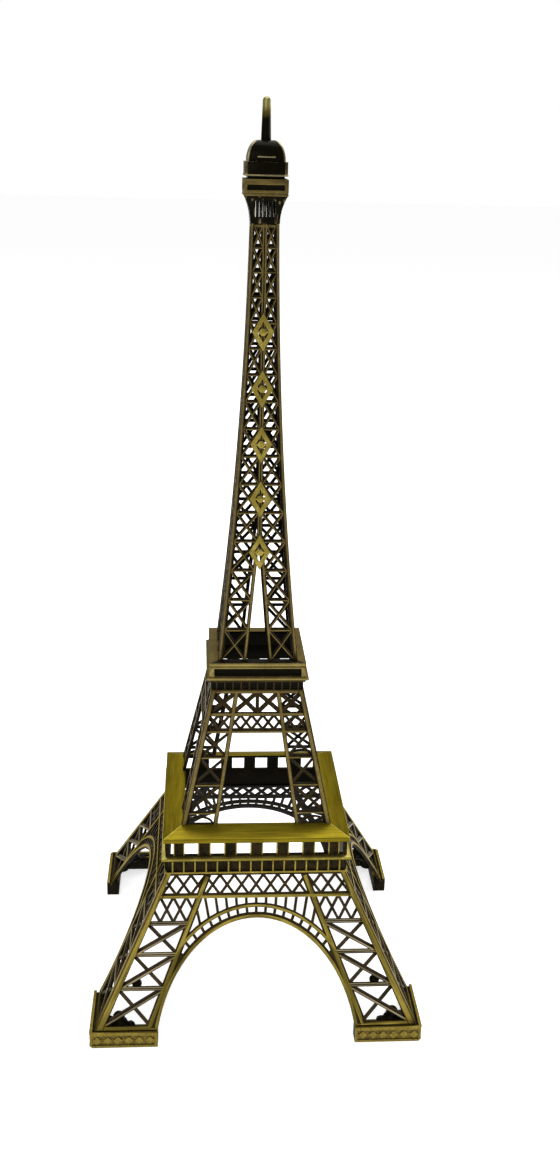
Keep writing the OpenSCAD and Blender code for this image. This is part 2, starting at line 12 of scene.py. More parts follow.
import bpy
import mathutils
import numpy as np
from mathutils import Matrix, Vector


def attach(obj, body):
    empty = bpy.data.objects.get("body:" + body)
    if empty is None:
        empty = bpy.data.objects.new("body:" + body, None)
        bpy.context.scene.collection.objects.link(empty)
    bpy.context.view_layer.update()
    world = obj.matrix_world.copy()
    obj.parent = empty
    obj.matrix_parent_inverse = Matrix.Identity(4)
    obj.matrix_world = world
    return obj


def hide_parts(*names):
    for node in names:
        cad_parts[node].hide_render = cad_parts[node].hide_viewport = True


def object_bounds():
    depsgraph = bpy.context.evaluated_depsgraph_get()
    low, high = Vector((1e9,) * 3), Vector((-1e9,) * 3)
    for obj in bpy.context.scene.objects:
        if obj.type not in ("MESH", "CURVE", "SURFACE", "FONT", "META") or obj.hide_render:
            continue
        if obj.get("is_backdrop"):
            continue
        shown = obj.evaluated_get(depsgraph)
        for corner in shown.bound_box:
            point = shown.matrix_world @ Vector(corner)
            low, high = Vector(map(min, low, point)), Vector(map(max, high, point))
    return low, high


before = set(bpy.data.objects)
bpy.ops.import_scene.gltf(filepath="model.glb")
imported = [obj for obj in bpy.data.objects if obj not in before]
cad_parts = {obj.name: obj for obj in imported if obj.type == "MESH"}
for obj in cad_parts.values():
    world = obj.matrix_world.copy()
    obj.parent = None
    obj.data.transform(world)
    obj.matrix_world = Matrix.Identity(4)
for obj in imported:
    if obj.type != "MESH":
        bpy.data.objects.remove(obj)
cad_low, cad_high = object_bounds()
MM = 0.001
BODY = "root"
SIDES = {"front": (0, -1), "right": (1, 0), "back": (0, 1), "left": (-1, 0)}
print("CAD nodes:", len(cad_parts))
print("CAD box, mm:", [round(v / MM, 1) for v in (*cad_low, *cad_high)])

# %% [markdown]
# ## Camera
# The ornament stands close to the camera, which looks down on it from the height of the cabin
# and from a little to the left. A longer lens from further away would make the feet and the head
# look alike in scale; this close view is what makes the feet spread and the tip shrink. The lens
# is that of a full frame camera, whose long side is 36 mm.

# %% Place the camera
CAMERA_PLACE = (-22.13, -426.41, 309.56)
CAMERA_TURN = (70.485, -1.415, -3.572)
CAMERA_LENS = 38.925

lens = bpy.data.cameras.new("camera")
lens.lens = CAMERA_LENS
lens.clip_start = 0.01
camera = bpy.data.objects.new("camera", lens)
camera.location = [v * MM for v in CAMERA_PLACE]
camera.rotation_euler = [math.radians(v) for v in CAMERA_TURN]
bpy.context.scene.collection.objects.link(camera)
bpy.context.scene.camera = camera
print("camera stands", round((camera.location - (cad_low + cad_high) / 2).length, 3), "m away")

# %% [markdown]
# ## Table and light
# A white table and white surroundings show the open lattice as clean cut-outs. Brass is a mirror
# for the room it stands in, so the room matters more than the lamps: a dim grey room keeps the
# stain dark, and soft panels in front, above, behind and on the right are what the faces mirror.
# A bright sky all round would be simpler, but it turns every dark hollow grey. The world is white
# only where the camera looks straight at it.

# %% Build the table
TABLE_SIDE = 12.0
TABLE_PAINT = (0.86, 0.86, 0.86)
TABLE_GLOW = 0.68


def deselect():
    bpy.ops.object.select_all(action="DESELECT")


def table_paint():
    material = bpy.data.materials.new("pale_table")
    material.use_nodes = True
    shader = material.node_tree.nodes["Principled BSDF"]
    shader.inputs["Base Color"].default_value = (*TABLE_PAINT, 1)
    shader.inputs["Roughness"].default_value = 0.6
    shader.inputs["Specular IOR Level"].default_value = 0.2
    shader.inputs["Emission Color"].default_value = (1, 1, 1, 1)
    shader.inputs["Emission Strength"].default_value = TABLE_GLOW
    return material


deselect()
bpy.ops.mesh.primitive_plane_add(size=TABLE_SIDE)
table = bpy.context.active_object
table.name = "table"
table.data.materials.append(table_paint())
table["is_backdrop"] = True
print("table side, m:", TABLE_SIDE)

# %% Light the room
ROOM_GREY = 0.34


def room(strength):
    """A world of that strength, but white where the camera looks straight at it."""
    world = bpy.data.worlds.new("room")
    bpy.context.scene.world = world
    world.use_nodes = True
    tree = world.node_tree
    background = tree.nodes["Background"]
    background.inputs["Color"].default_value = (1, 1, 1, 1)
    direct = tree.nodes.new("ShaderNodeLightPath")
    level = tree.nodes.new("ShaderNodeMapRange")
    level.inputs["To Min"].default_value = strength
    level.inputs["To Max"].default_value = 1.0
    tree.links.new(direct.outputs["Is Camera Ray"], level.inputs["Value"])
    tree.links.new(level.outputs["Result"], background.inputs["Strength"])


def panel_light(name, place, aim, side, brightness):
    """A square soft panel of a given brightness, so that moving it back keeps its look."""
    light = bpy.data.lights.new(name, "AREA")
    light.size = side
    light.energy = brightness * math.pi * side * side
    lamp = bpy.data.objects.new(name, light)
    lamp.location = place
    lamp.visible_camera = False
    towards = mathutils.Vector(aim) - lamp.location
    lamp.rotation_euler = towards.to_track_quat("-Z", "Y").to_euler()
    bpy.context.scene.collection.objects.link(lamp)


room(ROOM_GREY)
panel_light("front_panel", (-0.45, -1.05, 0.75), (0, 0, 0.1), 0.7, 2.0)
panel_light("top_panel", (0.1, 0.2, 1.3), (0, 0, 0), 1.0, 4.0)
panel_light("back_panel", (0, 1.3, 1.0), (0, 0, 0.1), 1.2, 1.1)
panel_light("right_panel", (1.0, 0.7, 0.35), (0, 0, 0.1), 0.7, 2.8)
bpy.context.scene.view_settings.view_transform = "Standard"

# %% [markdown]
# ## Taking a casting from the CAD model
# A CAD mesh is loose triangles with knife-sharp edges. No casting is that sharp: tumbling and
# rubbing leave every edge a little round, and those round edges catch the light. So each node is
# copied, its doubles are merged, the triangles of each flat are joined into one face, and a small
# bevel is put on every sharp edge. The bevel's own faces are marked, because they are the best
# rubbed places of all. Where a flat has many holes in it, one big face would fold over itself, so
# there the triangles are kept.

# %% Copy, merge and break the edges
MERGE = 0.002 * MM
FLAT = math.radians(0.6)
SHARP = math.radians(24)
BEVEL_MARK = 1


def select_only(piece):
    deselect()
    piece.select_set(True)
    bpy.context.view_layer.objects.active = piece


def open_mesh(piece):
    """Edit mode on one piece, with its whole mesh selected."""
    select_only(piece)
    bpy.ops.object.mode_set(mode="EDIT")
    bpy.ops.mesh.select_all(action="SELECT")


def close_mesh():
    bpy.ops.object.mode_set(mode="OBJECT")


def apply_modifiers(piece):
    select_only(piece)
    for modifier in list(piece.modifiers):
        bpy.ops.object.modifier_apply(modifier=modifier.name)


def break_edges(piece, edge_round):
    bevel = piece.modifiers.new("broken_edges", "BEVEL")
    bevel.width = edge_round * MM
    bevel.segments = 2
    bevel.limit_method = "ANGLE"
    bevel.angle_limit = SHARP
    bevel.use_clamp_overlap = True
    bevel.miter_outer = "MITER_SHARP"
    for _ in range(BEVEL_MARK + 1):
        piece.data.materials.append(None)
    bevel.material = BEVEL_MARK
    apply_modifiers(piece)


def take_casting(node, edge_round, split=False, join_flat=True):
    """A copy of a CAD node with its sharp edges rounded by edge_round millimetres.

    With split, its faces end up as triangles, so that the middle of each face lies on the side
    that the face belongs to."""
    piece = bpy.data.objects.new(node + "_cast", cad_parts[node].data.copy())
    bpy.context.scene.collection.objects.link(piece)
    piece.data.materials.clear()
    open_mesh(piece)
    bpy.ops.mesh.remove_doubles(threshold=MERGE)
    if join_flat:
        bpy.ops.mesh.dissolve_limited(angle_limit=FLAT)
    close_mesh()
    if edge_round > 0:
        break_edges(piece, edge_round)
    if split:
        open_mesh(piece)
        bpy.ops.mesh.quads_convert_to_tris()
        close_mesh()
    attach(piece, BODY)
    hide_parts(node)
    return piece


print("edges sharper than", round(math.degrees(SHARP)), "degrees are broken")

# %% [markdown]
# ## How far each face stands proud
# The stain stays where the rubbing cloth doesn't reach. A painter would do that by hand with a
# mask; here every face gets a number called rub, from 0 for a deep or hidden face to 1 for a face
# at the very front. All four sides are alike, so a face is first looked at square on from its own
# side: how far out it lies, and how squarely it faces outwards.

# %% Look at the faces from their own side
# On a few pieces the rub also carries painted shade or painted highlights; each is noted where it is
# set.
MOST_RUB = 1.2
SMOOTH = math.radians(35)


def face_data(piece):
    """Centres in millimetres, normals, and which faces a bevel made."""
    mesh = piece.data
    count = len(mesh.polygons)
    centre = np.zeros(count * 3)
    normal = np.zeros(count * 3)
    mark = np.zeros(count, np.int32)
    mesh.polygons.foreach_get("center", centre)
    mesh.polygons.foreach_get("normal", normal)
    mesh.polygons.foreach_get("material_index", mark)
    return centre.reshape(-1, 3) / MM, normal.reshape(-1, 3), mark == BEVEL_MARK


def square_on(centre, normal, side=None):
    """Outward distance and outward facing of each face, from a named side or its nearest one."""
    if side:
        way = np.tile(np.array(SIDES[side], float), (len(centre), 1))
    else:
        across = np.abs(centre[:, 0]) > np.abs(centre[:, 1])
        way = np.zeros((len(centre), 2))
        way[across, 0] = np.sign(centre[across, 0])
        way[~across, 1] = np.sign(centre[~across, 1])
    return (centre[:, :2] * way).sum(1), (normal[:, :2] * way).sum(1)


def write_faces(piece, name, values):
    """A number for each face, stored on the face's corners so that it stays crisp."""
    mesh = piece.data
    attribute = mesh.attributes.get(name) or mesh.attributes.new(name, "FLOAT", "CORNER")
    sides = np.zeros(len(mesh.polygons), np.int32)
    mesh.polygons.foreach_get("loop_total", sides)
    attribute.data.foreach_set("value", np.repeat(values, sides).astype(np.float32))


def finish_piece(piece, material, rub):
    """Give a piece its rub and its one material. The rub is a number a face, or one for all."""
    rub = np.broadcast_to(rub, len(piece.data.polygons))
    write_faces(piece, "rub", np.clip(rub, 0, MOST_RUB))
    mesh = piece.data
    mesh.materials.clear()
    mesh.materials.append(material)
    mesh.polygons.foreach_set("material_index", np.zeros(len(mesh.polygons), np.int32))
    select_only(piece)
    bpy.ops.object.shade_smooth_by_angle(angle=SMOOTH)
    print(f"{piece.name}: {len(mesh.polygons)} faces, mean rub {rub.mean():.2f}")


print("rub runs from 0 to", MOST_RUB)

# %% [markdown]
# ## Node helpers
# A material here is a small calculation: noises, distances and the rub are added up and then read
# as a colour. Building it from a few helpers, each of which adds one node and hands back its
# socket, keeps the recipe itself short enough to read.

# %% Nodes for numbers and noise
def math_node(tree, kind, first, second=None):
    node = tree.nodes.new("ShaderNodeMath")
    node.operation = kind
    for socket, value in zip(node.inputs, (first, second)):
        if isinstance(value, bpy.types.NodeSocket):
            tree.links.new(value, socket)
        elif value is not None:
            socket.default_value = value
    return node.outputs[0]


def map_range(tree, value, low, high, start=0.0, end=1.0):
    """low at start and before it, high at end and past it, and a straight line between."""
    node = tree.nodes.new("ShaderNodeMapRange")
    for socket, number in (("From Min", start), ("From Max", end), ("To Min", low), ("To Max", high)):
        node.inputs[socket].default_value = number
    tree.links.new(value, node.inputs["Value"])
    return node.outputs["Result"]


def fade(tree, value, start, end):
    """1 up to start and 0 from end on, both in millimetres."""
    return map_range(tree, value, 1.0, 0.0, start * MM, end * MM)


def noise(tree, where, scale, detail=3.0, rough=0.55):
    node = tree.nodes.new("ShaderNodeTexNoise")
    node.inputs["Scale"].default_value = scale
    node.inputs["Detail"].default_value = detail
    node.inputs["Roughness"].default_value = rough
    tree.links.new(where, node.inputs["Vector"])
    return node.outputs["Fac"]


def stretched_noise(tree, place, stretch, detail, rough=0.55):
    """Noise drawn out into strokes: the larger a number in stretch, the finer it is that way."""
    mapping = tree.nodes.new("ShaderNodeMapping")
    mapping.inputs["Scale"].default_value = stretch
    tree.links.new(place, mapping.inputs["Vector"])
    return noise(tree, mapping.outputs["Vector"], 1.0, detail, rough)


def around_zero(tree, value, amount):
    """A noise of 0 to 1 turned into a swing of that amount either way."""
    return math_node(tree, "MULTIPLY", math_node(tree, "SUBTRACT", value, 0.5), 2 * amount)


def object_place(tree):
    return tree.nodes.new("ShaderNodeTexCoord").outputs["Object"]


def face_number(tree, name):
    node = tree.nodes.new("ShaderNodeAttribute")
    node.attribute_name = name
    return node.outputs["Fac"]


print("number helpers ready")

# %% Nodes for colours
def ramp(tree, value, stops):
    node = tree.nodes.new("ShaderNodeValToRGB")
    elements = node.color_ramp.elements
    while len(elements) < len(stops):
        elements.new(0.5)
    for element, (position, colour) in zip(elements, stops):
        element.position = position
        element.color = (*colour, 1)
    tree.links.new(value, node.inputs["Fac"])
    return node.outputs["Color"]


def mix_colours(tree, factor, first, second, blend="MIX"):
    """Two colours mixed; factor is a number or a socket."""
    node = tree.nodes.new("ShaderNodeMix")
    node.data_type = "RGBA"
    node.blend_type = blend
    if isinstance(factor, bpy.types.NodeSocket):
        tree.links.new(factor, node.inputs[0])
    else:
        node.inputs[0].default_value = factor
    tree.links.new(first, node.inputs[6])
    tree.links.new(second, node.inputs[7])
    return node.outputs[2]


print("colour helpers ready")

# %% Nodes for distances on the tower
def axes(tree, place):
    split = tree.nodes.new("ShaderNodeSeparateXYZ")
    tree.links.new(place, split.inputs[0])
    return split.outputs["X"], split.outputs["Y"], split.outputs["Z"]


def sideways(tree, place):
    """Distances from the two upright middle planes, in metres."""
    x, y, _ = axes(tree, place)
    return math_node(tree, "ABSOLUTE", x), math_node(tree, "ABSOLUTE", y)


def corner_distance(tree, place):
    """How far a point is from the nearest corner plane of the square plan, in metres."""
    across, deep = sideways(tree, place)
    return math_node(tree, "ABSOLUTE", math_node(tree, "SUBTRACT", across, deep))


def height_above(tree, place, zero):
    """Height over a level given in millimetres."""
    return math_node(tree, "SUBTRACT", axes(tree, place)[2], zero * MM)


print("distance helpers ready")

# %% [markdown]
# ## Antique brass
# One recipe serves the whole tower. The rub number, broken up by a coarse and a fine noise, runs
# through a colour ramp from black stain over brown to brass. The same number makes the stain dull
# and the brass bright: it drives the metallic and roughness sockets too. A very fine noise gives
# the skin of a sand casting as a bump. Noise is read in object coordinates, so that it is cut in
# the piece and doesn't slide.

# %% Tones
STAIN = (0.0040, 0.0034, 0.0014)
BROWN = (0.055, 0.036, 0.013)
OLIVE = (0.130, 0.095, 0.020)
BRASS = (0.250, 0.192, 0.036)
GOLD = (0.230, 0.178, 0.011)
GLANCE = (0.55, 0.52, 0.44)
BRASS_TONES = [(0.05, STAIN), (0.40, BROWN), (0.72, OLIVE), (1.0, BRASS)]
PALE_TONES = [(0.05, STAIN), (0.40, (0.060, 0.042, 0.022)), (0.72, (0.130, 0.098, 0.052)),
              (1.0, (0.260, 0.215, 0.125))]


def up_to(reach, tones, brightest):
    """Tones squeezed to leave room for a brighter one, which a rub of reach gives."""
    return [(position / reach, colour) for position, colour in tones] + [(1.0, brightest)]


print("brass tones:", len(BRASS_TONES), "pale tones:", len(PALE_TONES))

# %% The recipe
SKIN_DEPTH = 0.06


def antique(name, colours, patch=0.22, grain=0.16, gloss=(0.55, 0.36), metal=(0.25, 1.0), skin=0.25,
            gleam=0.1, patch_mm=5.0, grain_mm=0.7, wear_and_painted_light=None, reach=1.0, pale=None):
    """Stained and rubbed metal.

    patch and grain say how much the coarse and fine noise move the rub, gloss and metal are the
    roughness and metallic of stain and of brass, the extra function adds more rub in places, for wear
    and for painted shade and highlights, reach is the rub that gives the last colour, and pale, a
    number or a function, mixes in the paler tones."""
    material = bpy.data.materials.new(name)
    material.use_nodes = True
    tree = material.node_tree
    shader = tree.nodes["Principled BSDF"]
    shader.inputs["Specular IOR Level"].default_value = gleam
    shader.inputs["Specular Tint"].default_value = (*GLANCE, 1)
    place = object_place(tree)
    coarse = noise(tree, place, 1 / (patch_mm * MM))
    fine = noise(tree, place, 1 / (grain_mm * MM), detail=2.0)
    wear_and_light_level = math_node(tree, "ADD", face_number(tree, "rub"), around_zero(tree, coarse, patch))
    wear_and_light_level = math_node(tree, "ADD", wear_and_light_level, around_zero(tree, fine, grain))
    # The extra function adds wear, and on some pieces painted shade or painted highlights.
    if wear_and_painted_light:
        wear_and_light_level = math_node(tree, "ADD", wear_and_light_level, wear_and_painted_light(tree, place))
    colour = ramp(tree, math_node(tree, "DIVIDE", wear_and_light_level, reach), colours)
    if pale:
        amount = pale(tree, place) if callable(pale) else pale
        colour = mix_colours(tree, amount, colour, ramp(tree, wear_and_light_level, PALE_TONES))
    tree.links.new(colour, shader.inputs["Base Color"])
    tree.links.new(map_range(tree, wear_and_light_level, *metal), shader.inputs["Metallic"])
    tree.links.new(map_range(tree, wear_and_light_level, *gloss), shader.inputs["Roughness"])
    bump = tree.nodes.new("ShaderNodeBump")
    bump.inputs["Strength"].default_value = skin
    bump.inputs["Distance"].default_value = SKIN_DEPTH * MM
    tree.links.new(fine, bump.inputs["Height"])
    tree.links.new(bump.outputs["Normal"], shader.inputs["Normal"])
    return material


print("skin depth, mm:", SKIN_DEPTH)

# %% [markdown]
# ## Lattice panels: depth
# Twelve flat castings make the legs, the middle storey and the spire. On each, the chords, rails
# and arch rings stand 0.4 mm proud of the lattice behind them. A distance from the middle of the
# tower can't tell them apart, because the panels lean and the spire curves. So the casting's own
# corner line is found first: the vertices that lie on the mitre, fitted with a smooth curve of
# outward distance against height. A face's depth is how far it lies behind that line.

# %% Depth behind the outer face of a panel
ON_MITRE = 0.02
SAME_LINE = 0.05
SQUARE = 0.9
WALL = 0.35


def corner_line(node, side, bend):
    """Outward distance of a panel's outer corner against height, as a curve of degree bend."""
    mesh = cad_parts[node].data
    co = np.zeros(len(mesh.vertices) * 3)
    mesh.vertices.foreach_get("co", co)
    co = co.reshape(-1, 3) / MM
    way = np.array(SIDES[side], float)
    out = co[:, :2] @ way
    along = np.abs(co[:, :2] @ way[::-1])
    mitre = np.abs(along - out) < ON_MITRE
    height, out = co[mitre, 2], out[mitre]
    line = np.polyfit(height, out, bend)
    gap = out - np.polyval(line, height)
    while gap.min() < -SAME_LINE:
        outer = gap > (gap.min() + gap.max()) / 2
        height, out = height[outer], out[outer]
        line = np.polyfit(height, out, bend)
        gap = out - np.polyval(line, height)
    return line


def lattice_rub(piece, line, side, front, web, proud=0.12):
    """Rub of a panel's faces: front for the beads, web for the lattice, little for their flanks."""
    centre, normal, bevelled = face_data(piece)
    out, facing = square_on(centre, normal, side)
    slope = np.polyval(np.polyder(line), centre[:, 2])
    lean = 1 / np.sqrt(1 + slope**2)
    square = (facing - slope * normal[:, 2]) * lean
    depth = (np.polyval(line, centre[:, 2]) - out) * lean
    rub = np.where(square > SQUARE, np.where(depth < proud, front, web), 0)
    flank = np.where(depth < 0.5, 0.6, 0.3) * web
    rub = np.where(np.abs(square) <= WALL, flank, rub)
    broken_edge = np.where(depth < 2 * proud, 0.7 * front, 0.9 * web)
    return np.where(bevelled & (square > 0.2), broken_edge, rub)


leg_corner = corner_line("leg_panel_front", "front", 1)
print("a leg panel leans in by", round(-leg_corner[0], 3), "mm for each mm of height")

# %% [markdown]
# ## Lattice panels: painted bead shade and pale bays
# The corner chord is a half-round bead. Its shading is painted: the material darkens both of its
# edges, where the round turns away from the light, and leaves its middle bright, which is too fine
# for one number a face. The distance from the corner plane says where across the bead a point lies.
# Between the chords of a leg the brass is paler, and that is found from the same distances.

# %% Painted shade on the beads, and pale brass between the chords
# How much painted shade darkens the two edges of a corner bead.
BEAD_EDGE_SHADE = -0.5
BEAD_EDGE = (0.3, 0.5, 0.7)
SOFT_STEP = 0.1
LEG_BAYS = (7.8, 45.9)
OUTER_CHORD = 3.0
INNER_CHORD = 42.5
INNER_CHORD_LEAN = 0.44


def painted_bead_shade(bright_from, bright_to):
    """Painted shade on a half-round corner bead: dark along both edges, where its round turns from
    the light, and bright along its middle.
    """
    def wear_and_painted_light(tree, place):
        distance = corner_distance(tree, place)
        inner_edge = fade(tree, distance, 0.5 * bright_from, bright_from)
        on_bead = fade(tree, distance, bright_to, bright_to + BEAD_EDGE[0])
        on_line = fade(tree, distance, bright_to + BEAD_EDGE[1], bright_to + BEAD_EDGE[2])
        outer_edge = math_node(tree, "SUBTRACT", on_line, on_bead)
        both = math_node(tree, "ADD", inner_edge, outer_edge)
        return math_node(tree, "MULTIPLY", both, BEAD_EDGE_SHADE)
    return wear_and_painted_light


def past(tree, value, level):
    """0 below a level in millimetres and 1 above it."""
    return map_range(tree, value, 0.0, 1.0, (level - SOFT_STEP) * MM, (level + SOFT_STEP) * MM)


def braced_bay(tree, place):
    """1 between the chords of a leg, below the long rail, where the bars are paler."""
    height = axes(tree, place)[2]
    along = math_node(tree, "MINIMUM", *sideways(tree, place))
    leaning = math_node(tree, "ADD", along, math_node(tree, "MULTIPLY", height, INNER_CHORD_LEAN))
    above_bays = past(tree, height, LEG_BAYS[1])
    bay = math_node(tree, "SUBTRACT", past(tree, height, LEG_BAYS[0]), above_bays)
    bay = math_node(tree, "MULTIPLY", bay, past(tree, leaning, INNER_CHORD))
    return math_node(tree, "MULTIPLY", bay, past(tree, corner_distance(tree, place), OUTER_CHORD))


print("the pale bays of the legs run from", *LEG_BAYS, "mm up")

# %% Leg, middle and spire panels
PANELS = {
    "leg_panel": {"edge_round": 0.1, "bend": 1, "front": 1.0, "web": 0.30, "bead": (0.7, 2.3),
                  "pale": braced_bay},
    "mid_panel": {"edge_round": 0.09, "bend": 1, "front": 0.78, "web": 0.22, "bead": (0.4, 1.4),
                  "pale": 0.3},
    "spire_panel": {"edge_round": 0.07, "bend": 2, "front": 0.74, "web": 0.15, "bead": (0.25, 0.7),
                    "pale": 0.35},
}
for storey, look in PANELS.items():
    # Painted shade along the edges of the corner beads.
    wear_and_painted_light = painted_bead_shade(*look["bead"])
    metal = antique(f"rubbed_{storey}", BRASS_TONES, wear_and_painted_light=wear_and_painted_light, pale=look["pale"])
    for side in SIDES:
        line = corner_line(f"{storey}_{side}", side, look["bend"])
        casting = take_casting(f"{storey}_{side}", look["edge_round"])
        rub = lattice_rub(casting, line, side, look["front"], look["web"])
        finish_piece(casting, metal, rub)

# %% [markdown]
# ## Gallery walls
# The square galleries are strips and turned-up sheets. Their stain sits in the bands between the
# mouldings, and the mouldings themselves are brass. They stand upright, so a plain outward distance
# tells moulding from band. Their flat tops at the front, the ledge under the windows among them, get
# the highest rub, and the tones go one step brighter than brass: a painted highlight for the light
# that falls on them from above.

# %% Rub of a square ring
LOOKS_OUT = 0.3
LOOKS_UP = 0.7
TOP_DEPTH = 3
BEVEL_DEPTH = 0.6


def ring_rub(piece, proud, front=0.95, recess=0.1, top=0.8, edge=0.9):
    """Rub of a square ring: proud is the outward distance from which a face counts as rubbed."""
    centre, normal, bevelled = face_data(piece)
    out, facing = square_on(centre, normal)
    up = normal[:, 2]
    rub = np.where(facing > LOOKS_OUT, np.where(out > proud, front, recess), 0.0)
    rub = np.where(up > LOOKS_UP, np.where(out > proud - TOP_DEPTH, top, recess), rub)
    outer_edge = bevelled & (facing > -0.1) & (out > proud - BEVEL_DEPTH) & (up > -0.5)
    return np.where(outer_edge, edge, rub)


print("tops count as rubbed up to", TOP_DEPTH, "mm behind the front")

# %% Walls of the first gallery
WALL_PROUD = 33.3
SILL_DEPTH = 33.2
# A painted highlight: the tone past brass, reached by the flat tops of the walls.
PAINTED_HIGHLIGHT_BRASS = (0.55, 0.45, 0.12)

ring_metal = antique("gallery_brass", up_to(MOST_RUB, BRASS_TONES, PAINTED_HIGHLIGHT_BRASS), reach=MOST_RUB)
for side in SIDES:
    wall = take_casting(f"gallery_wall_{side}", 0.08, split=True)
    # top=MOST_RUB paints a highlight on the flat tops of the walls.
    rub = ring_rub(wall, WALL_PROUD, recess=0.14, top=MOST_RUB)
    centre, normal, bevelled = face_data(wall)
    out, facing = square_on(centre, normal, side)
    sill = (normal[:, 2] > 0.5) & (out < SILL_DEPTH)
    finish_piece(wall, ring_metal, np.where(sill, 0.1, rub))

# %% [markdown]
# ## First deck
# The deck is a shallow hood, brushed with long strokes that run along each of its four sides and
# meet in a thin bright line at the corners. Noise can be stretched one way only, so there are two:
# one drawn out along X and one along Y. A second number on the faces, called turn, picks between
# them.

# %% Brushed brass
STROKES = ((60, 1400, 1400), (1400, 60, 1400))
STROKE_TINTS = [(0.30, (0.62, 0.60, 0.50)), (0.70, (1.15, 1.15, 1.15))]
DECK_REACH = 1.3
DECK_TONES = [(0.05, STAIN), (0.30, BROWN), (0.60, (0.120, 0.092, 0.008)), (1.0, GOLD)]
MITRE_GOLD = (0.36, 0.30, 0.08)


def mitre_line(tree, place):
    """The thin line where two brushed strips meet."""
    return math_node(tree, "MULTIPLY", fade(tree, corner_distance(tree, place), 0.1, 0.4), 0.4)


def brushed_metal(name):
    """Brass brushed with long strokes that follow each side of a square hood."""
    tones = up_to(DECK_REACH, DECK_TONES, MITRE_GOLD)
    material = antique(name, tones, patch=0.1, grain=0.05, wear_and_painted_light=mitre_line, reach=DECK_REACH)
    tree = material.node_tree
    shader = tree.nodes["Principled BSDF"]
    place = object_place(tree)
    along_x, along_y = [stretched_noise(tree, place, stretch, 3.0, 0.6) for stretch in STROKES]
    which = tree.nodes.new("ShaderNodeMix")
    tree.links.new(face_number(tree, "turn"), which.inputs["Factor"])
    tree.links.new(along_x, which.inputs["A"])
    tree.links.new(along_y, which.inputs["B"])
    tint = ramp(tree, which.outputs["Result"], STROKE_TINTS)
    plain_colour = shader.inputs["Base Color"].links[0].from_socket
    brushed = mix_colours(tree, 1.0, plain_colour, tint, "MULTIPLY")
    tree.links.new(brushed, shader.inputs["Base Color"])
    return material


deck = take_casting("first_deck", 0.12, split=True)
centre, normal, bevelled = face_data(deck)
turn = np.abs(centre[:, 0]) > np.abs(centre[:, 1])
write_faces(deck, "turn", turn.astype(float))
deck_rub = ring_rub(deck, 26.6, front=0.85, top=0.85)
finish_piece(deck, brushed_metal("brushed_deck"), deck_rub)

# %% [markdown]
# ## Second gallery
# Above the middle storey sit a dark frieze and a tray with a sunk band. The tray's brass is paler
# than the deck's. Its front strip lies in the shade of the spire, and that shade is painted: the top
# of the strip gets almost no rub, so it takes the dark stain colour.

# %% Frieze and tray
frieze = take_casting("second_frieze", 0.08, split=True)
frieze_rub = ring_rub(frieze, 16.5, front=0.32, recess=0.0, edge=0.45)
finish_piece(frieze, ring_metal, frieze_rub)

pale_brass = antique("pale_gallery_brass", BRASS_TONES, pale=0.3)
tray = take_casting("second_gallery", 0.1, split=True)
rub = ring_rub(tray, 16.9, recess=0.0, top=0.64)
centre, normal, bevelled = face_data(tray)
out, facing = square_on(centre, normal)
in_front = (centre[:, 1] < -13) & (np.abs(centre[:, 0]) < -centre[:, 1])
# Painted shade: the top of the front strip, under the spire, is given almost no rub.
painted_spire_shade = in_front & (normal[:, 2] > LOOKS_UP) & (out < 17)
finish_piece(tray, pale_brass, np.where(painted_spire_shade, 0.05, rub))

# %% [markdown]
# ## Feet
# Each foot is an angle of two thick walls with a relief band round the outside and a groove in its
# top. Feet are handled most, and their skin is the roughest: strong grain and a deeper bump. The
# ground of the relief band lies deeper than its frame and is a little darker, and the groove is
# full of stain.

# %% Feet
FOOT_TONES = [(0.05, STAIN), (0.35, BROWN), (0.65, OLIVE), (1.0, BRASS)]
BAND_GROUND = (59, 59.8)
GROOVE_TOP = 5.6

foot_metal = antique("foot_brass", FOOT_TONES, patch=0.2, grain=0.55, patch_mm=1.6, grain_mm=0.6,
                     skin=0.5)
for place in ("front_left", "front_right", "back_left", "back_right"):
    foot = take_casting(f"foot_{place}", 0.15, split=True, join_flat=False)
    rub = ring_rub(foot, 55.5, front=0.8, recess=0.1)
    centre, normal, bevelled = face_data(foot)
    out, facing = square_on(centre, normal)
    band = (facing > SQUARE) & (out > BAND_GROUND[0]) & (out < BAND_GROUND[1]) & ~bevelled
    groove = (normal[:, 2] > LOOKS_UP) & (centre[:, 2] < GROOVE_TOP) & (out > 52)
    rub = np.where(band, 0.6, np.where(groove, 0.05, rub))
    finish_piece(foot, foot_metal, rub)

# %% [markdown]
# ## Lozenges
# Five open lozenges with a round boss run down the front of the spire. They stand in front of
# everything else, so their faces are rubbed bright, and only their flanks and backs are dark.

# %% Lozenges
for number in range(1, 6):
    lozenge = take_casting(f"lozenge_{number}", 0.1, join_flat=False)
    centre, normal, bevelled = face_data(lozenge)
    faces_front = normal[:, 1] < -0.2
    finish_piece(lozenge, ring_metal, np.where(faces_front, 1.0, 0.3))

# %% [markdown]
# ## Black lacquer
# The neck, cabin, cupola and antenna are black lacquer over brass, worn through to the metal on the
# groins of the cupola and at the tip of the antenna. Light is painted on it as well: the light
# streaks down the neck are painted reflections, and the line along the lower lip of the cabin is a
# painted highlight. Each of these is one line of distance or height, so each gets a small function
# that adds to the rub, and the recipe for antique brass does the rest with darker, glossier settings.

# %% Lacquer, where it is worn, and where light is painted on it
LACQUER_TONES = [(0.1, STAIN), (0.5, BROWN), (0.9, (0.24, 0.205, 0.11))]
TIP_TONES = [(0.1, STAIN), (0.5, (0.090, 0.070, 0.012)), (0.85, (0.30, 0.27, 0.10))]
DARK = 0.05
CABIN_LIP = 297.1
ANTENNA_TOP = cad_high[2] / MM


